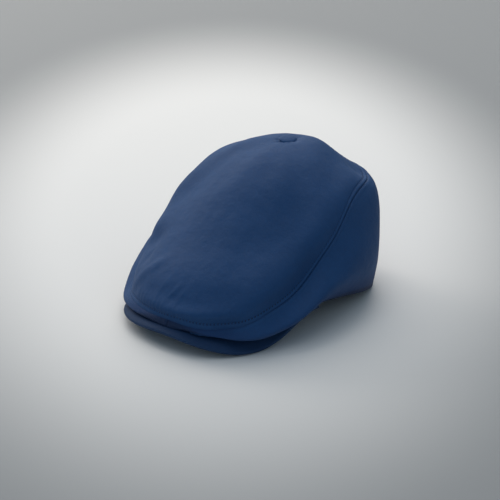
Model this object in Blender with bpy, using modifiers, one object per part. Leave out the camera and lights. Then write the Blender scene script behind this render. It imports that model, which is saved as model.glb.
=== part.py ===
"""A flat cap of navy cotton twill: a top panel, two side panels, a covered peak and a covered button.

Metres, +Z up. The wearer looks along -Y. The cap rests on the floor on its peak and on the back of
its rim, and the origin is on the floor under the middle of the cap.
"""

import math
from collections import namedtuple

import bmesh
import bpy
import numpy as np

# Driving sizes of the crown
CAP_LENGTH = 0.243
CROWN_WIDTH = 0.196
CROWN_HEIGHT = 0.132
CLOTH_THICKNESS = 0.002
SEAM_GAP = 0.0003
STITCH_MARGIN = 0.004

# Driving sizes of the peak
PEAK_WIDTH = 0.156
PEAK_REACH = 0.108
PEAK_DEPTH = 0.048
PEAK_THICKNESS = 0.004
PEAK_END_WIDTH = 0.012
PEAK_FULLNESS = 2.7
PEAK_ROOT_HEIGHT = 0.024
PEAK_BEND = 4
PEAK_FLARE = 0.09
PEAK_FLARE_POWER = 6

# Driving sizes of the rim
REST_BEGINS = 0.33
HEM_HEIGHT = 0.004

# Driving sizes of the button
BUTTON_DIAMETER = 0.014
BUTTON_HEIGHT = 0.004

# The button's section, from the middle of its underside to the middle of its top. Reach is a share of its
# radius, and height a share of BUTTON_HEIGHT.
Section = namedtuple("Section", "reach height")
BUTTON_SECTION = (
    Section(reach=0.00, height=0.00),
    Section(reach=0.50, height=0.00),
    Section(reach=0.92, height=0.00),
    Section(reach=1.00, height=0.22),
    Section(reach=0.96, height=0.55),
    Section(reach=0.80, height=0.82),
    Section(reach=0.45, height=0.97),
    Section(reach=0.00, height=1.00),
)

# How finely the cloth is divided
STATIONS_PER_HALF = 30
SIDE_ROWS = 9
TOP_ROWS = 14
PEAK_ROWS = 6
BUTTON_STATIONS = 12

# Closed loops round the crown, seen from above. Lengths are shares of CAP_LENGTH, ahead of or behind the
# middle of the cap, and the width is a share of CROWN_WIDTH. Fullness 2 is an ellipse, and more is squarer.
Loop = namedtuple("Loop", "widest front back width full_front full_back")
SEAM_LOOP = Loop(widest=0.05, front=0.464, back=0.463, width=0.87, full_front=2.60, full_back=2.8)
BELLY_LOOP = Loop(widest=0.05, front=0.474, back=0.494, width=1.00, full_front=2.45, full_back=2.2)
RIM_LOOP = Loop(widest=0.05, front=0.476, back=0.495, width=0.870, full_front=1.98, full_back=2.7)

# How the crown climbs, at turns from the middle of the front to the middle of the back. Reach is a share of
# the seam loop's own reach, and the seam's height a share of CROWN_HEIGHT. The shoulder and the outer part
# lie in from the seam by a share of the way to the top, and up by a share of the climb to it.
Climb = namedtuple("Climb", "turn reach seam shoulder_in shoulder_up outer_in outer_up middle_up")
CLIMBS = (
    Climb(0, 1.00, 0.180, shoulder_in=0.03, shoulder_up=0.13, outer_in=0.25, outer_up=0.44, middle_up=0.84),
    Climb(30, 1.00, 0.197, shoulder_in=0.03, shoulder_up=0.13, outer_in=0.25, outer_up=0.44, middle_up=0.84),
    Climb(45, 0.985, 0.266, shoulder_in=0.02, shoulder_up=0.16, outer_in=0.25, outer_up=0.48, middle_up=0.86),
    Climb(60, 0.955, 0.348, shoulder_in=0.03, shoulder_up=0.20, outer_in=0.25, outer_up=0.52, middle_up=0.88),
    Climb(75, 0.970, 0.484, shoulder_in=0.03, shoulder_up=0.24, outer_in=0.25, outer_up=0.58, middle_up=0.90),
    Climb(90, 0.98, 0.606, shoulder_in=0.05, shoulder_up=0.24, outer_in=0.26, outer_up=0.60, middle_up=0.92),
    Climb(107, 0.945, 0.730, shoulder_in=0.06, shoulder_up=0.23, outer_in=0.28, outer_up=0.57, middle_up=0.92),
    Climb(122, 0.935, 0.784, shoulder_in=0.06, shoulder_up=0.19, outer_in=0.30, outer_up=0.54, middle_up=0.90),
    Climb(140, 0.975, 0.786, shoulder_in=0.08, shoulder_up=0.15, outer_in=0.32, outer_up=0.51, middle_up=0.89),
    Climb(180, 1.00, 0.770, shoulder_in=0.08, shoulder_up=0.14, outer_in=0.32, outer_up=0.52, middle_up=0.90),
)

# The height of the top of the peak's edge, as a share of CROWN_HEIGHT, at turns from its middle to its end.
Edge = namedtuple("Edge", "turn height")
PEAK_EDGE = (
    Edge(turn=0, height=0.120),
    Edge(turn=20, height=0.084),
    Edge(turn=36, height=0.033),
    Edge(turn=50, height=0.0268),
    Edge(turn=68, height=0.100),
    Edge(turn=90, height=0.180),
)
TOP_PLACE = 0.235
MIDDLE_IN = 0.60
BELLY_RISE = 0.42

NAVY = (0.012, 0.032, 0.085, 1.0)
NAVY_DARK = (0.009, 0.024, 0.066, 1.0)

CLOTH = "cotton_twill"
COLLECTION = "flat_cap"
PROFILE_SAMPLES = 240


def spline(places, values, wanted):
    """A smooth curve through the values, level at both ends, read at the wanted places."""
    places = np.asarray(places, float)
    values = np.asarray(values, float)
    count = len(places)
    steps = np.diff(places)
    system = np.zeros((count, count))
    right = np.zeros(count)
    system[0, 0] = system[-1, -1] = 1.0
    for i in range(1, count - 1):
        before, after = steps[i - 1], steps[i]
        system[i, i - 1] = after
        system[i, i] = 2 * (before + after)
        system[i, i + 1] = before
        slopes = (values[i] - values[i - 1]) / before, (values[i + 1] - values[i]) / after
        right[i] = 3 * (after * slopes[0] + before * slopes[1])
    tangents = np.linalg.solve(system, right)
    return hermite(places, values, tangents, wanted)


def hermite(places, values, tangents, wanted):
    """Reads the cubic with these values and slopes at each of the wanted places."""
    wanted = np.asarray(wanted, float)
    spans = np.clip(np.searchsorted(places, wanted, side="right") - 1, 0, len(places) - 2)
    width = places[spans + 1] - places[spans]
    t = (wanted - places[spans]) / width
    start = (1 + 2 * t) * (1 - t) ** 2 * values[spans] + t * (1 - t) ** 2 * width * tangents[spans]
    end = t**2 * (3 - 2 * t) * values[spans + 1] + t**2 * (t - 1) * width * tangents[spans + 1]
    return start + end


def loop_plan(loop, turn, share):
    """The point (x, y) of a loop, turn degrees round from the front, at a share of the loop's own reach."""
    angle = math.radians(turn)
    middle = loop.widest * CAP_LENGTH
    ahead = math.cos(angle) > 0
    reach = (loop.front + loop.widest if ahead else loop.back - loop.widest) * CAP_LENGTH
    full = loop.full_front if ahead else loop.full_back
    half_width = loop.width * CROWN_WIDTH / 2
    across, along = abs(math.sin(angle)) / half_width, abs(math.cos(angle)) / reach
    radius = share * (across**full + along**full) ** (-1 / full)
    return radius * math.sin(angle), middle - radius * math.cos(angle)


def peak_root():
    """How far behind the front of the cap the peak's ends lie."""
    return PEAK_REACH - CAP_LENGTH / 2


def peak_radius(turn, half_width, reach):
    """How far a peak-like outline is from the middle of the peak's root, turn degrees round from the front."""
    angle = math.radians(turn)
    across, along = abs(math.sin(angle)) / half_width, abs(math.cos(angle)) / reach
    radius = (across**PEAK_FULLNESS + along**PEAK_FULLNESS) ** (-1 / PEAK_FULLNESS)
    return radius * (1 + PEAK_FLARE * (turn / 90) ** PEAK_FLARE_POWER)


def peak_height(x, y):
    """The height of the peak's upper face, which bends down towards its outline."""
    turn = min(math.degrees(math.atan2(abs(x), peak_root() - y)), 90)
    share = min(math.hypot(x, peak_root() - y) / peak_radius(turn, PEAK_WIDTH / 2, PEAK_REACH), 1)
    edge = CROWN_HEIGHT * float(spline([row.turn for row in PEAK_EDGE], [row.height for row in PEAK_EDGE], turn))
    return edge + (PEAK_ROOT_HEIGHT - edge) * (1 - share**PEAK_BEND)


def rim_height(x, y):
    """The height of the rim: on the peak in front, and coming down to the floor behind it."""
    rest = REST_BEGINS * CAP_LENGTH
    if y <= peak_root():
        return peak_height(x, y) + SEAM_GAP
    start = peak_height(x, peak_root()) + SEAM_GAP
    behind = min((y - peak_root()) / (rest - peak_root()), 1)
    return start * (1 - behind**1.2)


def profile(turn):
    """The crown's section from the rim over the seam to the top."""
    turns = [row.turn for row in CLIMBS]
    climb = Climb(*(float(spline(turns, values, turn)) for values in zip(*CLIMBS)))
    top = np.array((0.0, TOP_PLACE * CAP_LENGTH, CROWN_HEIGHT))
    rim_plan, belly_plan = loop_plan(RIM_LOOP, turn, 1), loop_plan(BELLY_LOOP, turn, 1)
    seam = np.array((*loop_plan(SEAM_LOOP, turn, climb.reach), climb.seam * CROWN_HEIGHT))
    rim = np.array((*rim_plan, rim_height(*rim_plan)))
    belly = np.array((*belly_plan, rim[2] + BELLY_RISE * (seam[2] - rim[2])))
    points = [rim, belly, seam]
    for inward, upward in (
        (climb.shoulder_in, climb.shoulder_up),
        (climb.outer_in, climb.outer_up),
        (MIDDLE_IN, climb.middle_up),
    ):
        point = seam + inward * (top - seam)
        point[2] = seam[2] + upward * (top[2] - seam[2])
        points.append(point)
    points.append(top)
    return np.array(points)


def smooth_section(points):
    """A smooth line through a section's points, and the index of the sample that lies on the seam."""
    lengths = np.linalg.norm(np.diff(points, axis=0), axis=1)
    places = np.concatenate(([0.0], np.cumsum(lengths)))
    wanted = np.unique(np.concatenate((np.linspace(0, places[-1], PROFILE_SAMPLES), [places[2]])))
    line = np.empty((len(wanted), 3))
    for axis in range(3):
        tangents = natural_tangents(places, points[:, axis], level_end=axis == 2)
        line[:, axis] = hermite(places, points[:, axis], tangents, wanted)
    return line, int(np.argmin(abs(wanted - places[2])))


def natural_tangents(places, values, level_end):
    """Slopes of the smooth curve through the values, free at the start, and free or level at the end."""
    count = len(places)
    steps = np.diff(places)
    slopes = np.diff(values) / steps
    system = np.zeros((count, count))
    right = np.zeros(count)
    system[0, :2] = 2, 1
    right[0] = 3 * slopes[0]
    for i in range(1, count - 1):
        system[i, i - 1 : i + 2] = steps[i], 2 * (steps[i - 1] + steps[i]), steps[i - 1]
        right[i] = 3 * (steps[i] * slopes[i - 1] + steps[i - 1] * slopes[i])
    if level_end:
        system[-1, -1] = 1
    else:
        system[-1, -2:] = 1, 2
        right[-1] = 3 * slopes[-1]
    return np.linalg.solve(system, right)


def read_along(line, distances):
    """Points at these distances along a line."""
    run = np.concatenate(([0.0], np.cumsum(np.linalg.norm(np.diff(line, axis=0), axis=1))))
    return np.array([[np.interp(d, run, line[:, axis]) for axis in range(3)] for d in distances]), run[-1]


def panel_rows(turn, upward, rows):
    """One station of a panel, from the seam up to the top or down to the rim.

    The stitched margin beside the seam is flat, so the panels' edges meet face to face. The hem above the
    rim is plumb, so the rim's edge lies flat on what it rests on.
    """
    line, at_seam = smooth_section(profile(turn))
    tangent = line[at_seam + 1] - line[at_seam - 1]
    tangent /= np.linalg.norm(tangent)
    part = line[at_seam:] if upward else line[at_seam::-1]
    toward = tangent if upward else -tangent
    total = read_along(part, [0.0])[1]
    margin = min(STITCH_MARGIN, total / rows)
    seam = line[at_seam]
    first = [seam + toward * SEAM_GAP / 2, seam + toward * margin]
    if upward:
        return np.vstack((first, read_along(part, np.linspace(margin, total, rows)[1:])[0]))
    hem = min(HEM_HEIGHT, total / rows)
    later = read_along(part, np.linspace(margin, total - hem, rows - 1)[1:])[0]
    later[-1] = part[-1] + (0, 0, hem)
    return np.vstack((first, later, part[-1]))


def stations(first, last):
    """Turns, in degrees, spread evenly from the first to the last."""
    return np.linspace(first, last, STATIONS_PER_HALF + 1)


def grid_object(name, points, material):
    """An object whose mesh is a grid with these points, one row of them for each station."""
    around, across = points.shape[:2]
    mesh = bpy.data.meshes.new(name)
    shape = bmesh.new()
    bmesh.ops.create_grid(shape, x_segments=around - 1, y_segments=across - 1, size=1)
    shape.verts.ensure_lookup_table()
    for index, vert in enumerate(shape.verts):
        row, column = divmod(index, around)
        vert.co = points[column, row]
    bmesh.ops.remove_doubles(shape, verts=shape.verts, dist=1e-6)
    shape.to_mesh(mesh)
    shape.free()
    mesh.materials.append(material)
    mesh.shade_smooth()
    obj = bpy.data.objects.new(name, mesh)
    bpy.data.collections[COLLECTION].objects.link(obj)
    return obj


def close_ends(mesh):
    """Fills the open ends of a tube-like mesh."""
    shape = bmesh.new()
    shape.from_mesh(mesh)
    bmesh.ops.holes_fill(shape, edges=[edge for edge in shape.edges if edge.is_boundary], sides=0)
    bmesh.ops.recalc_face_normals(shape, faces=shape.faces)
    shape.to_mesh(mesh)
    shape.free()


def add_solidify(obj, thickness, offset):
    """Gives an open sheet its thickness."""
    solidify = obj.modifiers.new("thickness", "SOLIDIFY")
    solidify.thickness = thickness
    solidify.offset = offset
    solidify.use_even_offset = True
    solidify.use_quality_normals = True
    return solidify


def add_mirror(obj):
    """Completes a half that is open at the cap's middle plane."""
    mirror = obj.modifiers.new("other_half", "MIRROR")
    mirror.use_clip = True
    mirror.merge_threshold = 0.0001
    return mirror


def cloth_material(name, colour):
    """Plain cotton cloth."""
    material = bpy.data.materials.new(name)
    material.use_nodes = True
    shader = material.node_tree.nodes["Principled BSDF"]
    shader.inputs["Base Color"].default_value = colour
    shader.inputs["Roughness"].default_value = 0.8
    shader.inputs["Metallic"].default_value = 0.0
    return material


def build_top_panel(material):
    """The one panel that covers the head and runs forward over the peak."""
    points = np.array([panel_rows(turn, True, TOP_ROWS) for turn in stations(0, 180)])
    points[[0, -1], :, 0] = 0.0
    panel = grid_object("top_panel", points, material)
    add_mirror(panel)
    add_solidify(panel, CLOTH_THICKNESS, -1)


def inner_face(points, thickness):
    """The inner face of a side panel, square to its outer face, with its rim on what the outer rim rests on."""
    around = np.gradient(points, axis=0)
    around[[0, -1], :, 1:] = 0.0
    down = np.gradient(points, axis=1)
    down[:, -1, :2] = 0.0
    inward = np.cross(around, down)
    inner = points + thickness * inward / np.linalg.norm(inward, axis=2, keepdims=True)
    inner[:, -1, 2] = [rim_height(x, y) for x, y in inner[:, -1, :2]]
    return inner


def build_side_panel(name, side, material):
    """A side panel, from the middle of the front to the middle of the back, closed all round."""
    outer = np.array([panel_rows(turn, False, SIDE_ROWS) for turn in stations(0, 180)])
    outer[[0, -1], :, 0] = SEAM_GAP / 2
    inner = inner_face(outer, CLOTH_THICKNESS)
    points = np.concatenate((outer, inner[:, ::-1], outer[:, :1]), axis=1)
    points[:, :, 0] *= side
    panel = grid_object(name, points if side < 0 else points[::-1], material)
    close_ends(panel.data)


def peak_edge(turn, inset):
    """The point (x, y) of the peak's outline, or of a line inset from it towards the head."""
    angle = math.radians(turn)
    radius = peak_radius(turn, PEAK_WIDTH / 2 - inset * PEAK_END_WIDTH, PEAK_REACH - inset * PEAK_DEPTH)
    return radius * math.sin(angle), peak_root() - radius * math.cos(angle)


def build_peak(material):
    """The stiff peak covered with the cap's cloth, a crescent ahead of the head."""
    turns = stations(0, 90)
    points = np.empty((len(turns), PEAK_ROWS + 1, 3))
    for i, turn in enumerate(turns):
        for j in range(PEAK_ROWS + 1):
            x, y = peak_edge(turn, 1 - j / PEAK_ROWS)
            points[i, j] = x, y, peak_height(x, y)
    points[0, :, 0] = 0.0
    peak = grid_object("peak", points[::-1], material)
    add_mirror(peak)
    add_solidify(peak, PEAK_THICKNESS, -1)


def build_button(material):
    """The covered button, bedded on the top of the crown."""
    turns = np.linspace(0, 180, BUTTON_STATIONS + 1)
    points = np.empty((len(turns), len(BUTTON_SECTION), 3))
    for i, turn in enumerate(turns):
        from_top = smooth_section(profile(turn))[0][::-1]
        reaches = [row.reach * BUTTON_DIAMETER / 2 for row in BUTTON_SECTION]
        points[i] = read_along(from_top, reaches)[0]
        points[i, :, 2] += [SEAM_GAP + row.height * BUTTON_HEIGHT for row in BUTTON_SECTION]
    points[[0, -1], :, 0] = 0.0
    add_mirror(grid_object("crown_button", points, material))


def clear_scene():
    """Removes what the scene holds."""
    for obj in list(bpy.data.objects):
        bpy.data.objects.remove(obj)


def rest_on_floor():
    """Moves every piece together, so the cap stands on the floor with its middle over the origin."""
    bpy.context.view_layer.update()
    scene = bpy.context.evaluated_depsgraph_get()
    pieces = list(bpy.data.collections[COLLECTION].objects)
    low, high = np.full(3, np.inf), np.full(3, -np.inf)
    for piece in pieces:
        mesh = piece.evaluated_get(scene).to_mesh()
        corners = np.array([vert.co for vert in mesh.vertices])
        low, high = np.minimum(low, corners.min(axis=0)), np.maximum(high, corners.max(axis=0))
        piece.evaluated_get(scene).to_mesh_clear()
    shift = -np.array(((low[0] + high[0]) / 2, (low[1] + high[1]) / 2, low[2]))
    for piece in pieces:
        for vert in piece.data.vertices:
            vert.co.y += shift[1]
            vert.co.z += shift[2]


def main():
    """Builds the cap."""
    clear_scene()
    collection = bpy.data.collections.new(COLLECTION)
    bpy.context.scene.collection.children.link(collection)
    cloth = cloth_material(CLOTH, NAVY)
    build_top_panel(cloth)
    build_side_panel("side_panel_left", 1, cloth)
    build_side_panel("side_panel_right", -1, cloth)
    build_peak(cloth_material("peak_twill", NAVY_DARK))
    build_button(cloth)
    rest_on_floor()


main()
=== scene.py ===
"""Studio scene of a flat cap in navy cotton twill, dressed over the solids that it is packed with.

Everything is in metres, in the cap's own frame: +Z is up, -Y is towards the peak and +X is towards the
wearer's left. The cap lies on a pale floor, on the corners of its peak and the back of its rim.
"""

import logging
import math
from dataclasses import dataclass, fields
from enum import Enum

import bmesh
import bpy
import numpy as np
from mathutils import Matrix, Vector


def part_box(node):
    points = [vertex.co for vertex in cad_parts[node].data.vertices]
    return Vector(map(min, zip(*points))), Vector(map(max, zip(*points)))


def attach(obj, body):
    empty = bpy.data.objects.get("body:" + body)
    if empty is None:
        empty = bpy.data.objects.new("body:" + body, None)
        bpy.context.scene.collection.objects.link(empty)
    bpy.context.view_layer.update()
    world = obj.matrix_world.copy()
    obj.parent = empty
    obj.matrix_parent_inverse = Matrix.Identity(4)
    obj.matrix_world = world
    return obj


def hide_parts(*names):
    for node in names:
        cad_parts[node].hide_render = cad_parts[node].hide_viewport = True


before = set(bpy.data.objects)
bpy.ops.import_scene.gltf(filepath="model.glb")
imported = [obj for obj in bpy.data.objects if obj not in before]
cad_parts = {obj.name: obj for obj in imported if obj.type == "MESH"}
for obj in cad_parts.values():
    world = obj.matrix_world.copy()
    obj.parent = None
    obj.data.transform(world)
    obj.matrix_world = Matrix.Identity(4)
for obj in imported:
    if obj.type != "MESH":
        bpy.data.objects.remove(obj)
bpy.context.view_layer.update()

log = logging.getLogger("flat_cap")

BODY = "root"
HEAD_MIDDLE = (0.0, 0.02, 0.03)
MIRROR = (-1, 1, 1)
SMALLEST = 1e-14
# The places of a Mix node's sockets when it mixes colours.
MIX_FACTOR, MIX_FIRST, MIX_SECOND, MIX_RESULT = 0, 6, 7, 2

Pair = tuple[float, float]
Triple = tuple[float, float, float]
Colour = tuple[float, float, float, float]
Array = np.ndarray
Piece = bpy.types.Object


class Side(Enum):
    """Which side of the wearer a piece is on. The value is the sign of its x."""

    LEFT = 1
    RIGHT = -1


class Slot(Enum):
    """The material slots of the record."""

    TWILL = "cotton_twill"
    PEAK = "peak_twill"


def hermite(places: Array, values: Array, slopes: Array, wanted: Array) -> Array:
    """Reads, at the wanted places, the cubic with these values and slopes at its rising places."""
    spans = np.clip(np.searchsorted(places, wanted, side="right") - 1, 0, len(places) - 2)
    width = places[spans + 1] - places[spans]
    t = (wanted - places[spans]) / width
    start = (1 + 2 * t) * (1 - t) ** 2 * values[spans] + t * (1 - t) ** 2 * width * slopes[spans]
    end = t**2 * (3 - 2 * t) * values[spans + 1] + t**2 * (t - 1) * width * slopes[spans + 1]
    return start + end


def smooth_slopes(places: Array, values: Array, level: tuple[bool, bool]) -> Array:
    """Slopes of the smoothest curve through the values at rising places, level or free at each end."""
    steps = np.diff(places)
    rises = np.diff(values) / steps
    system = np.zeros((len(places), len(places)))
    right = np.zeros(len(places))
    for i in range(1, len(places) - 1):
        system[i, i - 1 : i + 2] = steps[i], 2 * (steps[i - 1] + steps[i]), steps[i - 1]
        right[i] = 3 * (steps[i] * rises[i - 1] + steps[i - 1] * rises[i])
    for end, beside in ((0, 1), (-1, -2)):
        system[end, end] = 1 if level[end] else 2
        system[end, beside] = 0 if level[end] else 1
        right[end] = 0 if level[end] else 3 * rises[end]
    return np.linalg.solve(system, right)


def read_table(rows: tuple, name: str, turns: Array) -> Array:
    """Reads the named column of a table of turns at other turns, smoothly and level at both ends."""
    places = np.array([row.turn for row in rows], float)
    values = np.array([getattr(row, name) for row in rows], float)
    return hermite(places, values, smooth_slopes(places, values, (True, True)), turns)


def step(low: float, high: float, value: Array) -> Array:
    """A smooth step from 0 at low to 1 at high."""
    t = np.clip((value - low) / (high - low), 0, 1)
    return t * t * (3 - 2 * t)


def bump(value: Array, width: float) -> Array:
    """A soft hump of height 1 about 0, that is low beyond its width."""
    return np.exp(-((value / width) ** 2))


def arc_along(line: Array) -> Array:
    """How far along a line of points each of them lies."""
    return np.concatenate(([0.0], np.cumsum(np.linalg.norm(np.diff(line, axis=0), axis=1))))


def there_and_back(half: Array, factor: tuple[int, ...] | int = 1) -> Array:
    """A half loop from front to back, and its way back to the front times the factor."""
    return np.concatenate((half, half[-2::-1] * factor))


@dataclass(frozen=True)
class Loop:
    """A closed loop round the crown, seen from above: shares of the cap's size, and its ends' fullness."""

    widest: float
    front: float
    back: float
    width: float
    full_front: float
    full_back: float


@dataclass(frozen=True)
class Climb:
    """How the crown climbs from its seam to its top at one turn from the middle of the front."""

    turn: float
    reach: float
    seam: float
    shoulder_in: float
    shoulder_up: float
    outer_in: float
    outer_up: float
    middle_up: float


@dataclass(frozen=True)
class Edge:
    """The height of the peak's edge at one turn, as a share of the crown's height."""

    turn: float
    height: float


@dataclass
class CapForm:
    """The smooth shape that every cloth piece follows, without its folds and seams.

    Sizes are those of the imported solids, so each dressed piece lies on its own solid. The softening lists
    points of the sections, and the degrees over which each is evened out round the crown.
    """

    length: float = 0.243
    width: float = 0.196
    height: float = 0.132
    cloth: float = 0.002
    seam_gap: float = 0.0003
    peak_width: float = 0.156
    peak_reach: float = 0.108
    peak_depth: float = 0.048
    peak_end: float = 0.012
    peak_thickness: float = 0.004
    peak_fullness: float = 2.7
    peak_root_height: float = 0.024
    peak_bend: float = 4.0
    peak_flare: float = 0.09
    peak_flare_power: float = 6.0
    rest_begins: float = 0.33
    top_place: float = 0.235
    middle_in: float = 0.60
    belly_rise: float = 0.42
    half_stations: int = 720
    samples: int = 900
    rim_power: float = 1.2
    softening: tuple[tuple[int, float], ...] = ((2, 1.5), (3, 4.0), (4, 7.0), (5, 9.0))
    seam: Loop = Loop(0.05, 0.464, 0.463, 0.87, 2.60, 2.8)
    belly: Loop = Loop(0.05, 0.474, 0.494, 1.00, 2.45, 2.2)
    rim: Loop = Loop(0.05, 0.476, 0.495, 0.870, 1.98, 2.7)
    climbs: tuple[Climb, ...] = (
        Climb(0, 1.00, 0.180, 0.03, 0.13, 0.25, 0.44, 0.84),
        Climb(30, 1.00, 0.197, 0.03, 0.13, 0.25, 0.44, 0.84),
        Climb(45, 0.985, 0.266, 0.02, 0.16, 0.25, 0.48, 0.86),
        Climb(60, 0.955, 0.348, 0.03, 0.20, 0.25, 0.52, 0.88),
        Climb(75, 0.970, 0.484, 0.03, 0.24, 0.25, 0.58, 0.90),
        Climb(90, 0.98, 0.606, 0.05, 0.24, 0.26, 0.60, 0.92),
        Climb(107, 0.945, 0.730, 0.06, 0.23, 0.28, 0.57, 0.92),
        Climb(122, 0.935, 0.784, 0.06, 0.19, 0.30, 0.54, 0.90),
        Climb(140, 0.975, 0.786, 0.08, 0.15, 0.32, 0.51, 0.89),
        Climb(180, 1.00, 0.770, 0.08, 0.14, 0.32, 0.52, 0.90),
    )
    peak_edges: tuple[Edge, ...] = (
        Edge(0, 0.120),
        Edge(20, 0.084),
        Edge(36, 0.033),
        Edge(50, 0.0268),
        Edge(68, 0.100),
        Edge(90, 0.180),
    )

    def __post_init__(self) -> None:
        """Works out every section of the crown once, from the middle of the front to that of the back."""
        self.turns = np.linspace(0, 180, self.half_stations + 1)
        own_front = self.peak_root() - self.peak_reach
        self.shift = np.array((0.0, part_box("peak")[0].y - own_front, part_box("side_panel_left")[0].z))
        points = self.control_points(self.turns)
        for index, spread in self.softening:
            points[:, index] = self.soften(points[:, index], spread)
        points += self.shift
        self.above = []
        self.below = []
        for row in points:
            up, down = self.section(row)
            self.above.append(up)
            self.below.append(down)

    def peak_root(self) -> float:
        """How far behind the middle of the cap the peak's ends lie."""
        return self.peak_reach - self.length / 2

    def loop_plan(self, loop: Loop, turns: Array, share: Array) -> tuple[Array, Array]:
        """The x and the y of a loop at each turn, where it has this share of its own reach."""
        angle = np.radians(turns)
        ahead = np.cos(angle) > 0
        reach = np.where(ahead, loop.front + loop.widest, loop.back - loop.widest) * self.length
        full = np.where(ahead, loop.full_front, loop.full_back)
        across = abs(np.sin(angle)) / (loop.width * self.width / 2)
        along = abs(np.cos(angle)) / reach
        radius = share * (across**full + along**full) ** (-1 / full)
        return radius * np.sin(angle), loop.widest * self.length - radius * np.cos(angle)

    def peak_radius(self, turns: Array, half_width: float, reach: float) -> Array:
        """How far a peak-like outline is from the middle of the peak's root, at each turn from the front."""
        angle = np.radians(turns)
        across = abs(np.sin(angle)) / half_width
        along = abs(np.cos(angle)) / reach
        full = self.peak_fullness
        radius = (across**full + along**full) ** (-1 / full)
        return radius * (1 + self.peak_flare * (turns / 90) ** self.peak_flare_power)

    def peak_height(self, x: Array, y: Array) -> Array:
        """The height of the peak's upper face over each place, before the shift."""
        turns = np.clip(np.degrees(np.arctan2(abs(x), self.peak_root() - y)), 0, 90)
        outline = self.peak_radius(turns, self.peak_width / 2, self.peak_reach)
        share = np.clip(np.hypot(x, self.peak_root() - y) / outline, 0, 1)
        edge = self.height * read_table(self.peak_edges, "height", turns)
        return edge + (self.peak_root_height - edge) * (1 - share**self.peak_bend)

    def rim_height(self, x: Array, y: Array) -> Array:
        """The height of the rim: on the peak in front, and coming down to the floor behind it."""
        root = self.peak_root()
        rest = self.rest_begins * self.length
        behind = np.clip((y - root) / (rest - root), 0, 1)
        start = self.peak_height(x, np.minimum(y, root)) + self.seam_gap
        return start * (1 - behind**self.rim_power)

    def control_points(self, turns: Array) -> Array:
        """The seven points of the section at each turn, from the rim over the seam to the top."""
        names = [column.name for column in fields(Climb) if column.name != "turn"]
        column = {name: read_table(self.climbs, name, turns) for name in names}
        whole = np.ones_like(turns)
        top = np.array((0.0, self.top_place * self.length, self.height))
        rim = np.stack((*self.loop_plan(self.rim, turns, whole), whole), axis=1)
        rim[:, 2] = self.rim_height(rim[:, 0], rim[:, 1])
        seam_plan = self.loop_plan(self.seam, turns, column["reach"])
        seam = np.stack((*seam_plan, column["seam"] * self.height), axis=1)
        belly_height = rim[:, 2] + self.belly_rise * (seam[:, 2] - rim[:, 2])
        belly = np.stack((*self.loop_plan(self.belly, turns, whole), belly_height), axis=1)
        points = [rim, belly, seam]
        inward = (column["shoulder_in"], column["outer_in"], self.middle_in * whole)
        upward = (column["shoulder_up"], column["outer_up"], column["middle_up"])
        for share_in, share_up in zip(inward, upward):
            point = seam + share_in[:, None] * (top - seam)
            point[:, 2] = seam[:, 2] + share_up * (top[2] - seam[:, 2])
            points.append(point)
        points.append(np.repeat(top[None], len(turns), axis=0))
        return np.stack(points, axis=1)

    def soften(self, half: Array, spread: float) -> Array:
        """Evens out a line that runs half-way round the crown, without breaking its mirror image.

        Args:
            half: its points, from the middle of the front to the middle of the back.
            spread: how far round each point is averaged, in degrees.
        """
        other = half[-2:0:-1] * MIRROR
        ring = np.vstack((half, other))
        waves = np.fft.fftfreq(len(ring), d=1 / len(ring))
        damping = np.exp(-((waves * math.radians(spread)) ** 2) / 2)
        soft = np.fft.ifft(np.fft.fft(ring, axis=0) * damping[:, None], axis=0).real
        return soft[: len(half)]

    def section(self, points: Array) -> tuple[Array, Array]:
        """One smooth section through seven points: its lines from the seam to the top and to the rim."""
        places = arc_along(points)
        up = np.linspace(places[2], places[-1], self.samples)
        down = np.linspace(places[2], 0.0, self.samples // 2)
        lines = []
        for wanted in (up, down):
            line = np.empty((len(wanted), 3))
            for axis in range(3):
                slopes = smooth_slopes(places, points[:, axis], (False, axis == 2))
                line[:, axis] = hermite(places, points[:, axis], slopes, wanted)
            lines.append(line)
        return lines[0], lines[1]

    def net(self, lines: list[Array], chosen: Array, shares: Array) -> tuple[Array, Array]:
        """Points spread along chosen lines above or below the seam, and how far along its line each lies."""
        points = np.empty((len(chosen), len(shares), 3))
        runs = np.empty((len(chosen), len(shares)))
        for i, index in enumerate(chosen):
            line = lines[index]
            run = arc_along(line)
            runs[i] = shares * run[-1]
            for axis in range(3):
                points[i, :, axis] = np.interp(runs[i], run, line[:, axis])
        return points, runs


def net_normals(points: Array, closed: bool) -> Array:
    """Outward unit normals of a net of points, whose last station is its first again if it's closed."""
    if closed:
        around = np.roll(points[:-1], -1, axis=0) - np.roll(points[:-1], 1, axis=0)
        around = np.concatenate((around, around[:1]))
    else:
        around = np.gradient(points, axis=0)
    across = np.gradient(points, axis=1)
    normals = np.cross(around, across)
    lengths = np.linalg.norm(normals, axis=2, keepdims=True)
    flat = lengths[..., 0] < SMALLEST
    normals = normals / np.maximum(lengths, SMALLEST)
    outward = points - HEAD_MIDDLE
    if np.sum(normals * outward) < 0:
        normals = -normals
    normals[flat] = (0.0, 0.0, 1.0)
    return normals


@dataclass(frozen=True)
class Press:
    """A soft push on the cloth, that moves what is near its place."""

    place: Triple
    reach: float
    push: Triple
    whole: bool = False

    def move(self, points: Array, free: Array | float) -> Array:
        """How far the push moves each of the points.

        Args:
            points: the points.
            free: how free each point is to move, from 0 at the rim to 1. A whole push takes the rim along.
        """
        away = np.linalg.norm(points - self.place, axis=-1)
        share = bump(away, self.reach) * (1.0 if self.whole else free)
        return share[..., None] * np.array(self.push)


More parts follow.
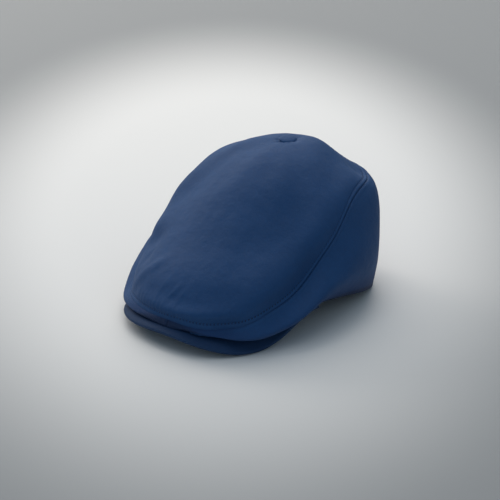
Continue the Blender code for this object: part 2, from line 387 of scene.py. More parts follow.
@dataclass(frozen=True)
class Fold:
    """A soft ridge in the cloth, or a furrow where its height is negative, along a smooth line."""

    start: Triple
    middle: Triple
    end: Triple
    width: float
    height: float
    samples: int = 25
    end_share: float = 0.06
    fade_power: float = 0.8

    def rise(self, points: Array) -> Array:
        """How far the fold lifts each of the points along its normal."""
        start, middle, end = (np.array(place) for place in (self.start, self.middle, self.end))
        t = np.linspace(0, 1, self.samples)[:, None]
        control = 2 * middle - (start + end) / 2
        line = (1 - t) ** 2 * start + 2 * t * (1 - t) * control + t**2 * end
        flat = points.reshape(-1, 3)
        away = np.full(len(flat), np.inf)
        along = np.zeros(len(flat))
        for place, share in zip(line, t[:, 0]):
            distance = np.linalg.norm(flat - place, axis=1)
            along = np.where(distance < away, share, along)
            away = np.minimum(away, distance)
        inner = self.end_share + (1 - 2 * self.end_share) * along
        fade = np.sin(math.pi * np.clip(inner, 0, 1)) ** self.fade_power
        return (self.height * fade * bump(away, self.width)).reshape(points.shape[:-1])


@dataclass(frozen=True)
class Wave:
    """One of the waves of a puckered seam: its pace in radians a metre, its start and its share."""

    pace: float
    start: float
    share: float


@dataclass(frozen=True)
class SeamRelief:
    """The shape of the cloth beside a turned and topstitched seam, in metres."""

    groove_depth: float = 0.0010
    groove_width: float = 0.00075
    welt_height: float = 0.00034
    stitch_place: float = 0.0042
    stitch_dip: float = 0.00055
    stitch_width: float = 0.0011
    pucker_height: float = 0.00011
    pucker_reach: float = 0.008
    front_share: float = 0.32
    front_turns: Pair = (25, 60)
    waves: tuple[Wave, ...] = (Wave(610, 0.0, 0.5), Wave(937, 1.3, 0.3), Wave(1490, 0.4, 0.2))

    def rise(self, away: Array, along: Array, turns: Array) -> Array:
        """How far the cloth stands out beside the seam, which is pulled flatter over the peak.

        Args:
            away: the distance from the seam.
            along: the distance along it.
            turns: turns from the middle of the front, in degrees from 0 to 180.
        """
        groove = -self.groove_depth * bump(away, self.groove_width)
        past_welt = step(self.stitch_place - 0.0006, self.stitch_place + 0.0022, away)
        welt = self.welt_height * (1 - past_welt)
        dip = -self.stitch_dip * bump(away - self.stitch_place, self.stitch_width)
        waves = sum(np.sin(along * wave.pace + wave.start) * wave.share for wave in self.waves)
        patches = 0.6 + 0.4 * np.sin(along * 71 + 0.8)
        fading = np.exp(-away / self.pucker_reach) * step(0.0, 0.003, away)
        strength = self.front_share + (1 - self.front_share) * step(*self.front_turns, turns)
        return (groove + welt + dip) * strength + self.pucker_height * waves * patches * fading


def cloth_waves(points: Array) -> Array:
    """The slight unevenness of cloth that has been worn and handled, along its normal."""
    x, y, z = points[..., 0], points[..., 1], points[..., 2]
    broad = np.sin(x * 61 + y * 37 + 0.4) * np.sin(y * 53 - z * 48 + 1.1)
    middle = np.sin(x * 118 - z * 96 + 2.0) * np.sin(y * 131 + x * 45 + 0.3)
    small = np.sin(x * 260 + y * 190 + z * 140) * np.sin(y * 240 - x * 210 + 1.7)
    return 0.00035 * broad + 0.00018 * middle + 0.00006 * small


@dataclass
class Net:
    """A net of cloth points with the flat maps that its finish follows."""

    points: Array
    cloth: Array
    seam: Array

    def build(self, name: str, weld: float = 1e-6) -> Piece:
        """Makes the net an object with the maps "cloth" and "seam" in metres, and welds its near points."""
        around, across = self.points.shape[:2]
        shape = bmesh.new()
        bmesh.ops.create_grid(shape, x_segments=around - 1, y_segments=across - 1, size=1)
        cloth_map = shape.loops.layers.uv.new("cloth")
        seam_map = shape.loops.layers.uv.new("seam")
        order = self.points.transpose(1, 0, 2).reshape(-1, 3)
        cloth = self.cloth.transpose(1, 0, 2).reshape(-1, 2)
        seam = self.seam.transpose(1, 0, 2).reshape(-1, 2)
        for vert, place in zip(shape.verts, order):
            vert.co = place
        for face in shape.faces:
            for loop in face.loops:
                loop[cloth_map].uv = cloth[loop.vert.index]
                loop[seam_map].uv = seam[loop.vert.index]
        bmesh.ops.remove_doubles(shape, verts=shape.verts, dist=weld)
        self.face_outward(shape)
        return finish_mesh(shape, name)

    def face_outward(self, shape: bmesh.types.BMesh) -> None:
        """Turns the faces round if most of them look towards the middle of the head."""
        inside = Vector(HEAD_MIDDLE)
        outward = 0.0
        for face in shape.faces:
            outward += face.normal.dot(face.calc_center_median() - inside) * face.calc_area()
        if outward < 0:
            bmesh.ops.reverse_faces(shape, faces=shape.faces)


def finish_mesh(shape: bmesh.types.BMesh, name: str) -> Piece:
    """Makes a bmesh a smooth mesh object in the scene's own collection, and frees the bmesh."""
    mesh = bpy.data.meshes.new(name)
    shape.normal_update()
    shape.to_mesh(mesh)
    shape.free()
    mesh.shade_smooth()
    piece = bpy.data.objects.new(name, mesh)
    bpy.context.scene.collection.objects.link(piece)
    return piece


def thicken(piece: Piece, thickness: float, lining: int) -> None:
    """Gives an open sheet of cloth its thickness, inwards from its outer face."""
    solid = piece.modifiers.new("thickness", "SOLIDIFY")
    solid.thickness = thickness
    solid.offset = -1
    solid.use_even_offset = False
    solid.use_quality_normals = True
    solid.material_offset = lining


def dress(piece: Piece, node: str | None = None) -> Piece:
    """Puts a finished piece on the cap's body, and in the place of its solid where it has one."""
    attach(piece, BODY)
    if node:
        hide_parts(node)
    log.info("%s: %d faces", piece.name, len(piece.data.polygons))
    return piece


class Socket:
    """A shader socket that takes part in Python expressions on numbers."""

    def __init__(self, graph: "Graph", socket: bpy.types.NodeSocket) -> None:
        """Wraps a socket of the graph."""
        self.graph = graph
        self.socket = socket

    def maths(self, operation: str, *others: "Socket | float") -> "Socket":
        """A Math node on this value and others."""
        return self.graph.maths(operation, self, *others)

    def __add__(self, other: "Socket | float") -> "Socket":
        """This plus the other."""
        return self.maths("ADD", other)

    def __sub__(self, other: "Socket | float") -> "Socket":
        """This less the other."""
        return self.maths("SUBTRACT", other)

    def __mul__(self, other: "Socket | float") -> "Socket":
        """This times the other."""
        return self.maths("MULTIPLY", other)

    def __truediv__(self, other: "Socket | float") -> "Socket":
        """This over the other."""
        return self.maths("DIVIDE", other)

    def __rsub__(self, other: float) -> "Socket":
        """The other less this."""
        return self.graph.maths("SUBTRACT", other, self)

    __radd__ = __add__
    __rmul__ = __mul__

    def sine(self) -> "Socket":
        """The sine of this value, in radians."""
        return self.maths("SINE")

    def between(self, low: float, high: float) -> "Socket":
        """A smooth step from 0 at low to 1 at high."""
        values = {"Value": self, "From Min": low, "From Max": high}
        return self.graph.add("ShaderNodeMapRange", {"interpolation_type": "SMOOTHSTEP"}, values)["Result"]


class Graph:
    """The node tree of one material, with short ways to add nodes to it."""

    def __init__(self, name: str) -> None:
        """Makes a material with an empty node tree."""
        self.material = bpy.data.materials.new(name)
        self.material.use_nodes = True
        self.tree = self.material.node_tree
        self.tree.nodes.clear()

    def add(self, kind: str, settings: dict, values: dict) -> dict[str, Socket]:
        """Adds a node of a kind, and returns its outputs by name.

        Args:
            kind: the node's type.
            settings: its own settings, set first.
            values: values or links for its sockets, by name or number.
        """
        node = self.tree.nodes.new(kind)
        for name, value in settings.items():
            setattr(node, name, value)
        for name, value in values.items():
            if isinstance(value, Socket):
                self.tree.links.new(value.socket, node.inputs[name])
            else:
                node.inputs[name].default_value = value
        return {output.name: Socket(self, output) for output in node.outputs}

    def maths(self, operation: str, *values: Socket | float) -> Socket:
        """A Math node on up to three values."""
        return self.add("ShaderNodeMath", {"operation": operation}, dict(enumerate(values)))["Value"]

    def flat_map(self, name: str) -> tuple[Socket, Socket]:
        """The two coordinates of a piece's own map, in metres."""
        uv = self.add("ShaderNodeUVMap", {"uv_map": name}, {})["UV"]
        parts = self.add("ShaderNodeSeparateXYZ", {}, {"Vector": uv})
        return parts["X"], parts["Y"]

    def noise(self, scale: float, detail: float, roughness: float = 0.5) -> Socket:
        """Even noise over the object, about 0.5."""
        place = self.add("ShaderNodeTexCoord", {}, {})["Object"]
        values = {"Vector": place, "Scale": scale, "Detail": detail, "Roughness": roughness}
        return self.add("ShaderNodeTexNoise", {}, values)["Fac"]

    def mix(self, factor: Socket | float, first: "Socket | tuple", second: "Socket | tuple") -> Socket:
        """A mix of two colours."""
        node = self.tree.nodes.new("ShaderNodeMix")
        node.data_type = "RGBA"
        for index, value in ((MIX_FACTOR, factor), (MIX_FIRST, first), (MIX_SECOND, second)):
            if isinstance(value, Socket):
                self.tree.links.new(value.socket, node.inputs[index])
            else:
                node.inputs[index].default_value = value
        return Socket(self, node.outputs[MIX_RESULT])

    def bump(self, height: Socket, distance: float) -> Socket:
        """A normal bent by a height in the given distance."""
        values = {"Height": height, "Distance": distance, "Strength": 1.0}
        return self.add("ShaderNodeBump", {}, values)["Normal"]

    def close(self, values: dict) -> bpy.types.Material:
        """Ends the tree with a Principled shader that takes these values."""
        surface = self.add("ShaderNodeBsdfPrincipled", {}, values)["BSDF"]
        self.add("ShaderNodeOutputMaterial", {}, {"Surface": surface})
        return self.material


@dataclass(frozen=True)
class Twill:
    """Cotton twill: diagonal wales of fine yarn, brushed a little."""

    name: str
    colour: Colour
    deep: Colour
    pale: Colour
    roughness: float = 0.72
    specular: float = 0.36
    wale: float = 0.00062
    lean: float = 58.0
    weave_depth: float = 0.00009
    # A near-black for painted shade, in the stitch dents and on the turned hem.
    dark_shade: Colour = (0.001, 0.004, 0.016, 1.0)
    # Painted shade towards the rim of the side panels: its colour, the broad band it fades in over, the
    # narrow band of the turned hem, and how strong both are.
    hem: Colour = (0.0010, 0.013, 0.075, 1.0)
    hem_shade: Pair = (0.0040, 0.0300)
    hem_turn_shade: Pair = (0.0045, 0.0090)
    hem_shade_strength: float = 0.50
    slub_depth: float = 0.00008
    rumple_depth: float = 0.0008
    hole_depth: float = 0.00035
    seamed: bool = False
    stitched: bool = False
    hem_shaded: bool = False

    def build(self) -> bpy.types.Material:
        """Makes the material."""
        graph = Graph(self.name)
        u, v = graph.flat_map("cloth")
        lean = math.radians(self.lean)
        uneven = graph.noise(900.0, 2.0) * 0.9
        often = 2 * math.pi / self.wale
        across = (u * math.cos(lean) + v * math.sin(lean)) * often + uneven
        along = (v * math.cos(lean) - u * math.sin(lean)) * (often / 1.35) + uneven
        weave = (across.sine() * 0.5 + 0.5) * (along.sine() * 0.22 + 0.78)
        mottle = graph.noise(34.0, 5.0, 0.6)
        slub = graph.noise(420.0, 3.0, 0.7)
        shade = weave * 0.34 + slub * 0.36 + mottle * 0.30
        colour = graph.mix(shade.between(0.24, 0.76), self.deep, self.colour)
        worn = (graph.noise(150.0, 6.0, 0.7)).between(0.55, 0.80)
        colour = graph.mix(worn * 0.22, colour, self.pale)
        rough = slub * 0.16 + (self.roughness - 0.08)
        rumple = graph.noise(95.0, 4.0, 0.55)
        height = weave * self.weave_depth + slub * self.slub_depth + rumple * self.rumple_depth
        if self.seamed:
            run, away = graph.flat_map("seam")
            # Painted shade: the cloth is darkened in the seam's groove, where shade falls.
            groove_shade = 1 - away.between(0.0002, 0.0014)
            colour = graph.mix(groove_shade * 0.55, colour, self.deep)
            rub = away.between(0.0008, 0.0022) * (1 - away.between(0.0026, 0.0052))
            colour = graph.mix(rub * (mottle * 0.25), colour, self.pale)
        if self.stitched:
            # Painted shade: dark spots in the stitch dents, where shade falls into them; the dents
            # themselves are relief in height.
            near = away.between(0.0030, 0.0040) * (1 - away.between(0.0044, 0.0054))
            pull = (run * (2 * math.pi / Stitching.pitch)).sine() * 0.5 + 0.5
            height = height - near * pull * self.hole_depth
            colour = graph.mix(near * pull.between(0.45, 0.85) * 0.9, colour, self.dark_shade)
        if self.hem_shaded:
            # Painted shade: the side panels darken towards the rim, most on the turned hem, where the lower
            # cloth lies in shade.
            for band, shade_colour in ((self.hem_shade, self.hem), (self.hem_turn_shade, self.dark_shade)):
                low = 1 - v.between(*band)
                colour = graph.mix(low * self.hem_shade_strength, colour, shade_colour)
        finish = {"Base Color": colour, "Roughness": rough, "Specular IOR Level": self.specular}
        return graph.close({**finish, "Normal": graph.bump(height, 1.0)})


@dataclass(frozen=True)
class Thread:
    """Twisted sewing thread."""

    name: str = "sewing_thread"
    colour: Colour = (0.009, 0.062, 0.200, 1.0)
    pale: Colour = (0.020, 0.100, 0.290, 1.0)

    def build(self) -> bpy.types.Material:
        """Makes the material."""
        graph = Graph(self.name)
        fibre = graph.noise(2600.0, 2.0)
        colour = graph.mix(fibre, self.colour, self.pale)
        finish = {"Base Color": colour, "Roughness": 0.7, "Specular IOR Level": 0.2}
        return graph.close({**finish, "Normal": graph.bump(fibre, 0.00005)})


@dataclass
class Finishes:
    """Every finish of the cap, made once."""

    navy: Colour = (0.0070, 0.066, 0.204, 1.0)
    navy_deep: Colour = (0.0042, 0.045, 0.144, 1.0)
    navy_pale: Colour = (0.0160, 0.092, 0.255, 1.0)
    # How much darker the peak's painted-shade copy of the navy is.
    peak_share: float = 0.56

    def __post_init__(self) -> None:
        """Makes the materials."""
        colours = (self.navy, self.navy_deep, self.navy_pale)
        self.top = Twill("top_twill", *colours, seamed=True, stitched=True).build()
        self.side = Twill("side_twill", *colours, seamed=True, hem_shaded=True).build()
        self.plain = Twill("plain_twill", *colours).build()
        # Painted shade: the peak is covered with a darker copy of the same navy, for the shade that it lies
        # in under the crown.
        shaded = [tuple(self.peak_share * part for part in colour[:3]) + (1.0,) for colour in colours]
        self.peak = Twill("peak_twill", *shaded, wale=0.00058, lean=52.0).build()
        self.lining = Twill("inner_twill", *colours, lean=32.0).build()
        self.thread = Thread().build()


@dataclass
class Crown:
    """The soft crown: its top panel, its two side panels and the folds that run over both."""

    form: CapForm
    finishes: Finishes
    relief: SeamRelief = SeamRelief()
    top_rows: int = 92
    side_rows: int = 58
    ring_stride: int = 3
    top_crowding: float = 1.7
    extra_stations: int = 40
    side_easing: float = 0.85
    side_crowding: Pair = (1.35, 1.5)
    middle_gap: float = 0.00005
    hem_round: float = 0.0024
    hem_share: float = 0.2
    join_depth: float = 0.0003
    join_width: float = 0.0008
    dimple_place: float = 0.0080
    dimple_depth: float = 0.0015
    dimple_width: float = 0.0038
    button_front: float = 0.65
    presses: tuple[Press, ...] = (
        Press((0.083, 0.066, 0.02), 0.042, (0.0036, 0.0027, 0.0), whole=True),
        Press((-0.064, -0.06, 0.0625), 0.014, (0.0056, 0.0042, -0.001)),
        Press((-0.07, -0.078, 0.038), 0.024, (-0.0012, -0.002, -0.01)),
        Press((-0.055, -0.074, 0.0567), 0.007, (0.0006, 0.0009, -0.0014)),
        Press((0.02, 0.067, 0.13), 0.026, (0.0, 0.0, 0.0035)),
        Press((0.0555, 0.0885, 0.1105), 0.015, (-0.0009, -0.0008, -0.0036)),
        Press((-0.036, 0.027, 0.123), 0.007, (0.0003, 0.0004, -0.0009)),
        Press((0.085, 0.08, 0.064), 0.022, (0.001, 0.0007, 0.0)),
        Press((0.05, -0.1, 0.024), 0.014, (-0.0012, 0.003, 0.0)),
        Press((0.081, -0.066, 0.029), 0.016, (-0.0026, 0.0014, 0.0)),
    )
    folds: tuple[Fold, ...] = (
        Fold((-0.038, -0.1, 0.0322), (0.014, -0.106, 0.0318), (0.06, -0.087, 0.0355), 0.0066, 0.0064),
        Fold((-0.01, -0.111, 0.0205), (0.045, -0.102, 0.0225), (0.088, -0.056, 0.029), 0.0062, -0.0018),
        Fold((0.0, -0.1, 0.0475), (0.045, -0.088, 0.048), (0.07, -0.068, 0.054), 0.008, -0.001),
        Fold((0.08, 0.058, 0.0925), (0.0664, 0.0928, 0.0992), (0.045, 0.1065, 0.101), 0.0044, 0.0006),
        Fold((0.08, -0.035, 0.019), (0.0895, 0.03, 0.008), (0.077, 0.096, 0.0005), 0.0062, -0.0018),
        Fold((0.0088, 0.056, 0.1345), (0.0108, 0.057, 0.1345), (0.0134, 0.0575, 0.134), 0.0011, 0.0005),
        Fold((0.048, -0.092, 0.04), (0.079, -0.062, 0.053), (0.093, -0.015, 0.076), 0.011, 0.0026),
        Fold((-0.024, -0.077, 0.064), (-0.038, -0.0875, 0.0532), (-0.0545, -0.0905, 0.037), 0.0055, 0.0014),
        Fold((0.0, 0.048, 0.1325), (-0.0054, 0.0081, 0.1231), (-0.0065, -0.03, 0.104), 0.012, 0.0011),
        Fold((-0.006, -0.107, 0.037), (-0.002, -0.1035, 0.045), (0.003, -0.097, 0.052), 0.0016, 0.0006),
        Fold((0.004, -0.107, 0.037), (0.007, -0.1035, 0.044), (0.011, -0.098, 0.05), 0.0014, 0.0004),
        Fold((-0.018, -0.1055, 0.037), (-0.015, -0.101, 0.045), (-0.011, -0.095, 0.052), 0.0018, 0.0005),
    )

    def sculpt(self, points: Array, closed: bool, relief: Array, free: Array | float) -> Array:
        """Gives a net its dents, folds and seam.

        Args:
            points: the smooth net.
            closed: whether it runs all the way round.
            relief: how far the seam lifts each point.
            free: how free each point is to move, from 0 at the rim to 1.
        """
        normals = net_normals(points, closed)
        rise = relief + cloth_waves(points)
        for fold in self.folds:
            rise = rise + fold.rise(points)
        moved = points + normals * rise[..., None]
        for press in self.presses:
            moved = moved + press.move(points, free)
        return moved

    def build_top(self) -> Piece:
        """The one large panel over the head, closed at the button."""
        chosen = np.arange(0, self.form.half_stations + 1, self.ring_stride)
        shares = np.linspace(0, 1, self.top_rows) ** self.top_crowding
        half, runs = self.form.net(self.form.above, chosen, shares)
        half[[0, -1], :, 0] = 0.0
        points = there_and_back(half, MIRROR)
        runs = there_and_back(runs)
        half_turns = self.form.turns[chosen]
        from_front = there_and_back(half_turns)[:, None]
        turns = np.radians(np.concatenate((half_turns, 360 - half_turns[-2::-1])))[:, None]
        along = np.repeat(arc_along(points[:, 0])[:, None], self.top_rows, axis=1)
        left = runs[:, -1:] - runs
        cloth = np.stack((left * np.sin(turns), -left * np.cos(turns)), axis=2)
        fading = 1 - 0.7 * np.clip(np.cos(turns - self.button_front), 0, 1)
        gathers = 1 + 0.25 * np.sin(turns * 7 + 0.6)
        dimple = -self.dimple_depth * bump(left - self.dimple_place, self.dimple_width) * gathers * fading
        relief = self.relief.rise(runs, along, from_front) + dimple
        points = self.sculpt(points, True, relief, 1.0)
        points[:, -1] = points[:, -1].mean(axis=0)
        points[-1] = points[0]
        piece = Net(points, cloth, np.stack((along, runs), axis=2)).build("crown_top_panel")
        return self.close(piece, self.finishes.top, "top_panel")

    def build_side(self, side: Side) -> Piece:
        """The panel on one side, from the middle of the front to the middle of the back."""
        last = self.form.half_stations
        even = np.linspace(0, 1, last // self.ring_stride + self.extra_stations)
        eased = even - self.side_easing * np.sin(2 * math.pi * even) / (2 * math.pi)
        chosen = np.unique(np.round(eased * last).astype(int))
        from_seam, from_rim = self.side_crowding
        shares = 1 - (1 - np.linspace(0, 1, self.side_rows) ** from_seam) ** from_rim
        points, runs = self.form.net(self.form.below, chosen, shares)
        points[[0, -1], :, 0] = 0.0
        points[..., 0] *= side.value
        along = np.repeat(arc_along(points[:, 0])[:, None], self.side_rows, axis=1)
        middle = arc_along(points[:, self.side_rows // 2])[:, None] * np.ones((1, self.side_rows))
        to_rim = runs[:, -1:] - runs
        round_edge = np.minimum(self.hem_round, self.hem_share * runs[:, -1:])
        rounding = np.clip(1 - to_rim / round_edge, 0, 1)
        hem = -round_edge * (1 - np.sqrt(1 - 0.98 * rounding**2))
        join = -self.join_depth * bump(points[..., 0], self.join_width)
        relief = self.relief.rise(runs, along, self.form.turns[chosen][:, None]) + hem + join
        free = 1 - (runs / runs[:, -1:]) ** 2
        points = self.sculpt(points, False, relief, free)
        points[[0, -1], :, 0] = self.middle_gap * side.value
        cloth = np.stack((middle, to_rim), axis=2)
        name = "crown_side_panel_" + side.name.lower()
        piece = Net(points, cloth, np.stack((along, runs), axis=2)).build(name)
        return self.close(piece, self.finishes.side, "side_panel_" + side.name.lower())

    def close(self, piece: Piece, outer: bpy.types.Material, node: str) -> Piece:
        """Gives a panel its finishes and its thickness, and puts it in the place of its solid."""
        piece.data.materials.append(outer)
        piece.data.materials.append(self.finishes.lining)
        thicken(piece, self.form.cloth, 1)
        return dress(piece, node)

    def rail(self) -> tuple[Array, Array]:
        """The points of the line on the top panel that its stitches follow, and the normals there."""
        beside = 0.0006
        distances = self.relief.stitch_place + np.array((-beside, 0.0, beside))
        chosen = np.arange(0, self.form.half_stations + 1, 2)
        half = np.empty((len(chosen), 3, 3))
        for i, index in enumerate(chosen):
            line = self.form.above[index]
            run = arc_along(line)
            for axis in range(3):
                half[i, :, axis] = np.interp(distances, run, line[:, axis])
        points = there_and_back(half, MIRROR)
        along = np.repeat(arc_along(points[:, 1])[:, None], 3, axis=1)
        away = np.broadcast_to(distances, along.shape)
        normals = net_normals(points, True)
        turns = there_and_back(self.form.turns[chosen])[:, None]
        moved = self.sculpt(points, True, self.relief.rise(away, along, turns), 1.0)
        return moved[:, 1], normals[:, 1]


@dataclass
class Stitching:
    """A row of topstitching, one small stitch after another along a line on the cloth."""

    material: bpy.types.Material
    pitch: float = 0.0030
    length: float = 0.0021
    width: float = 0.00050
    height: float = 0.00042
    sunk: float = 0.00006
    sunk_share: float = 0.3
    ahead: float = 0.001
    sway: float = 0.06

    def build(self, name: str, rail: tuple[Array, Array]) -> Piece:
        """Sews along a closed line, given by its points and the cloth's normals there."""
        points, normals = rail
        run = arc_along(points)
        count = int(run[-1] / self.pitch)
        shape = bmesh.new()
        for index in range(count):
            centre = (index + 0.5) * run[-1] / count
            spot = self.read(run, points, centre)
            forward = Vector(self.read(run, points, centre + self.ahead) - spot).normalized()
            up = Vector(self.read(run, normals, centre)).normalized()
            across = up.cross(forward).normalized()
            up = forward.cross(across)
            sway = self.sway * math.sin(index * 2.399)
            forward = (forward + across * sway).normalized()
            across = up.cross(forward)
            turn = Matrix((forward, across, up)).transposed().to_4x4()
            size = Matrix.Diagonal((self.length / 2, self.width / 2, self.height / 2, 1.0))
            lift = self.height / 2 - self.sunk - self.height * self.sunk_share
            matrix = Matrix.Translation(Vector(spot) + up * lift) @ turn @ size
            bmesh.ops.create_uvsphere(shape, u_segments=8, v_segments=6, radius=1.0, matrix=matrix)
        piece = finish_mesh(shape, name)
        piece.data.materials.append(self.material)
        return dress(piece)

    def read(self, run: Array, values: Array, distance: float) -> Array:
        """Reads points or normals at a distance along the line, which closes on itself."""
        at = distance % run[-1]
        return np.array([np.interp(at, run, values[:, axis]) for axis in range(3)])


@dataclass
class Peak:
    """The stiff peak: a board covered with the cap's cloth, with a rounded edge."""

    form: CapForm
    finishes: Finishes
    stations: int = 180
    face_rows: int = 28
    edge_rows: int = 9
    side_turn: float = 60
    side_share: float = 0.72
    presses: tuple[Press, ...] = (Press((-0.066, -0.09, 0.0065), 0.034, (-0.0026, -0.0018, 0.0052)),)

    def outline(self, turns: Array, inset: float) -> tuple[Array, Array]:
        """The x and the y of places on the peak, from inset 0 on its outline to 1 on its inner edge."""
        form = self.form
        half_width = form.peak_width / 2 - inset * form.peak_end
        radius = form.peak_radius(turns, half_width, form.peak_reach - inset * form.peak_depth)
        angle = np.radians(turns)
        return radius * np.sin(angle), form.peak_root() - radius * np.cos(angle)

    def build(self) -> Piece:
        """Makes the peak, closed all round."""
        form = self.form
        turns = np.linspace(-90, 90, self.stations + 1)
        radius = form.peak_thickness / 2
        depths = (form.peak_depth, form.peak_depth * self.side_share, form.peak_end)
        depth = np.interp(abs(turns), (0, self.side_turn, 90), depths)
        face = np.empty((len(turns), self.face_rows, 3))
        for j, share in enumerate(np.linspace(1, 0, self.face_rows)):
            for i, turn in enumerate(turns):
                inset = radius / depth[i] + share * (1 - radius / depth[i])
                x, y = self.outline(np.array([abs(turn)]), inset)
                face[i, j] = x[0] * np.sign(turn), y[0], form.peak_height(x, y)[0]
        face += form.shift
        for press in self.presses:
            face = face + press.move(face, 1.0)
        around = np.gradient(face, axis=0)
        across = np.gradient(face, axis=1)
        normals = np.cross(around, across)
        normals /= np.linalg.norm(normals, axis=2, keepdims=True)
        normals *= np.sign(normals[..., 2:3])
        middle = face - normals * radius
        outward = face[:, -1] - face[:, -2]
        outward /= np.linalg.norm(outward, axis=1, keepdims=True)
        rows = [face[:, j] for j in range(self.face_rows)]
        for angle in np.linspace(0, math.pi, self.edge_rows)[1:]:
            turned = math.cos(angle) * normals[:, -1] + math.sin(angle) * outward
            rows.append(middle[:, -1] + radius * turned)
        rows += [middle[:, j] - normals[:, j] * radius for j in range(self.face_rows - 2, -1, -2)]
        rows.append(rows[0])
        points = np.stack(rows, axis=1)
        run = np.zeros(points.shape[:2])
        run[:, 1:] = np.cumsum(np.linalg.norm(np.diff(points, axis=1), axis=2), axis=1)
        along = arc_along(face[:, -1])[:, None] * np.ones((1, points.shape[1]))
        cloth = np.stack((along, run), axis=2)
        piece = Net(points, cloth, cloth).build("covered_peak")
        shape = bmesh.new()
        shape.from_mesh(piece.data)
        bmesh.ops.holes_fill(shape, edges=[edge for edge in shape.edges if edge.is_boundary], sides=0)
        bmesh.ops.recalc_face_normals(shape, faces=shape.faces)
        shape.to_mesh(piece.data)
        shape.free()
        piece.data.shade_smooth()
        piece.data.materials.append(self.finishes.peak)
        return dress(piece, "peak")


@dataclass(frozen=True)
class Ring:
    """A ring of the button, as shares of its radius and of its height."""

    reach: float
    rise: float


@dataclass
class Button:
    """The cloth-covered button on the top, with the cloth gathered under its edge."""

    form: CapForm
    finishes: Finishes
    diameter: float = 0.0156
    height: float = 0.0026
    lift: float = 0.0009
    tilt: float = 0.10
    front: float = 0.65
    stations: int = 72
    fine_rings: int = 40
    gathers: int = 9
    gather_depth: float = 0.025
    rings: tuple[Ring, ...] = (
        Ring(0.82, -0.60),
        Ring(0.94, -0.30),
        Ring(1.00, 0.05),
        Ring(0.98, 0.30),
        Ring(0.92, 0.50),
        Ring(0.80, 0.69),
        Ring(0.62, 0.84),
        Ring(0.41, 0.94),
        Ring(0.20, 0.99),
        Ring(0.00, 1.00),
    )

    def build(self) -> Piece:
        """Makes the button."""
        top = np.array((0.0, self.form.top_place * self.form.length, self.form.height)) + self.form.shift
        reaches = np.array([ring.reach for ring in self.rings])
        heights = np.array([ring.rise for ring in self.rings])
        along = np.linspace(0, 1, len(self.rings))
        fine = np.linspace(0, 1, self.fine_rings)
        reach = hermite(along, reaches, smooth_slopes(along, reaches, (False, False)), fine)
        rise = hermite(along, heights, smooth_slopes(along, heights, (False, True)), fine)
        turns = np.linspace(0, 2 * math.pi, self.stations + 1)
        waves = np.maximum(0, np.sin(turns * self.gathers)[:, None])
        gather = 1 - self.gather_depth * waves * step(0.9, 0.3, rise)[None]
        out = self.diameter / 2 * reach[None] * gather
        x = top[0] + out * np.cos(turns)[:, None]
        y = top[1] + out * np.sin(turns)[:, None]
        lean = self.tilt * (math.cos(self.front) * (y - top[1]) - math.sin(self.front) * (x - top[0]))
        z = top[2] + self.lift + self.height * rise[None] + lean
        points = np.stack((x, y, z), axis=2)
        cloth = points[..., :2].copy()
        piece = Net(points, cloth, cloth).build("covered_button", weld=1e-5)
        piece.data.materials.append(self.finishes.plain)
        return dress(piece, "crown_button")


@dataclass(frozen=True)
class Lamp:
    """A soft round light that faces the floor under the middle of the cap."""

    name: str
    place: Triple
    diameter: float
    watts: float
    colour: Triple


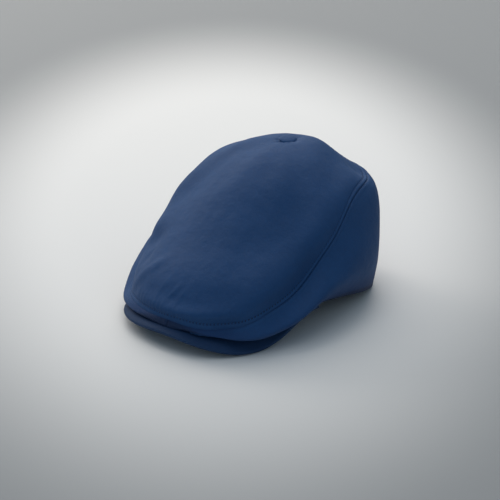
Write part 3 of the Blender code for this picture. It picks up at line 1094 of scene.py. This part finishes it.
@dataclass
class Studio:
    """The pale floor with a painted pool of light, the soft lights and the camera."""

    floor_half: float = 6.0
    floor_colour: Colour = (0.800, 0.795, 0.780, 1.0)
    # The painted shade of the floor far from its pool of light, and the pool's place, size and edge.
    floor_shade: Colour = (0.30, 0.31, 0.315, 1.0)
    light_pool_place: Pair = (-0.02, 0.21)
    pool_size: Pair = (0.41, 0.73)
    light_pool_edge: Pair = (0.40, 0.88)
    ambient: float = 0.29
    sky: Colour = (0.77, 0.99, 1.20, 1.0)
    azimuth: float = 37.0
    elevation: float = 25.0
    distance: float = 1.5
    lens: float = 122.6
    target: Triple = (0.0, 0.001, 0.046)
    lamps: tuple[Lamp, ...] = (
        Lamp("window_light", (-1.14, 1.12, 1.69), 2.7, 37.0, (1.08, 1.0, 0.92)),
        Lamp("left_light", (-1.84, 0.12, 0.90), 0.8, 8.5, (1.08, 1.0, 0.92)),
        Lamp("top_fill", (0.10, -0.35, 2.40), 2.0, 8.0, (1.0, 1.0, 1.0)),
    )

    def build_floor(self) -> Piece:
        """The floor that the cap lies on, painted light in a pool about the cap and darker away from it."""
        shape = bmesh.new()
        bmesh.ops.create_grid(shape, x_segments=1, y_segments=1, size=self.floor_half)
        floor = finish_mesh(shape, "floor")
        graph = Graph("studio_floor")
        place = graph.add("ShaderNodeTexCoord", {}, {})["Object"]
        parts = graph.add("ShaderNodeSeparateXYZ", {}, {"Vector": place})
        # Painted light: the floor's colour falls from a pale pool about the cap to a darker grey, as a
        # lamp's light would fall off.
        turn = math.radians(self.azimuth)
        across = parts["X"] * math.cos(turn) + parts["Y"] * math.sin(turn) - self.light_pool_place[0]
        away = parts["Y"] * math.cos(turn) - parts["X"] * math.sin(turn) - self.light_pool_place[1]
        across = across / self.pool_size[0]
        away = away / self.pool_size[1]
        far = (across * across + away * away).maths("SQRT")
        pale = graph.mix(far.between(*self.light_pool_edge), self.floor_colour, self.floor_shade)
        finish = {"Base Color": pale, "Roughness": 0.75, "Specular IOR Level": 0.2}
        floor.data.materials.append(graph.close(finish))
        return floor

    def build_lights(self) -> None:
        """The lamps, and even light all round."""
        for lamp in self.lamps:
            data = bpy.data.lights.new(lamp.name, "AREA")
            data.shape = "DISK"
            data.size = lamp.diameter
            data.energy = lamp.watts
            data.color = lamp.colour
            light = bpy.data.objects.new(lamp.name, data)
            light.location = lamp.place
            light.rotation_euler = Vector(lamp.place).to_track_quat("Z", "Y").to_euler()
            bpy.context.scene.collection.objects.link(light)
        world = bpy.data.worlds.new("studio")
        world.use_nodes = True
        background = world.node_tree.nodes["Background"]
        background.inputs["Color"].default_value = self.sky
        background.inputs["Strength"].default_value = self.ambient
        bpy.context.scene.world = world

    def build_camera(self) -> None:
        """The camera at the photograph's viewing angle."""
        azimuth, elevation = math.radians(self.azimuth), math.radians(self.elevation)
        back = Vector((
            math.sin(azimuth) * math.cos(elevation),
            -math.cos(azimuth) * math.cos(elevation),
            math.sin(elevation),
        ))
        data = bpy.data.cameras.new("camera")
        data.lens = self.lens
        camera = bpy.data.objects.new("camera", data)
        camera.location = Vector(self.target) + back * self.distance
        camera.rotation_euler = back.to_track_quat("Z", "Y").to_euler()
        bpy.context.scene.collection.objects.link(camera)
        bpy.context.scene.camera = camera

    def build(self) -> None:
        """Makes the whole studio."""
        self.build_floor()
        self.build_lights()
        self.build_camera()
        bpy.context.scene.view_settings.view_transform = "Standard"


def main() -> None:
    """Builds the studio and every piece of the cap."""
    logging.basicConfig(level=logging.INFO, format="%(message)s")
    Studio().build()
    form = CapForm()
    finishes = Finishes()
    crown = Crown(form, finishes)
    crown.build_top()
    crown.build_side(Side.LEFT)
    crown.build_side(Side.RIGHT)
    Stitching(finishes.thread).build("topstitching", crown.rail())
    Peak(form, finishes).build()
    Button(form, finishes).build()


if __name__ == "__main__":
    main()
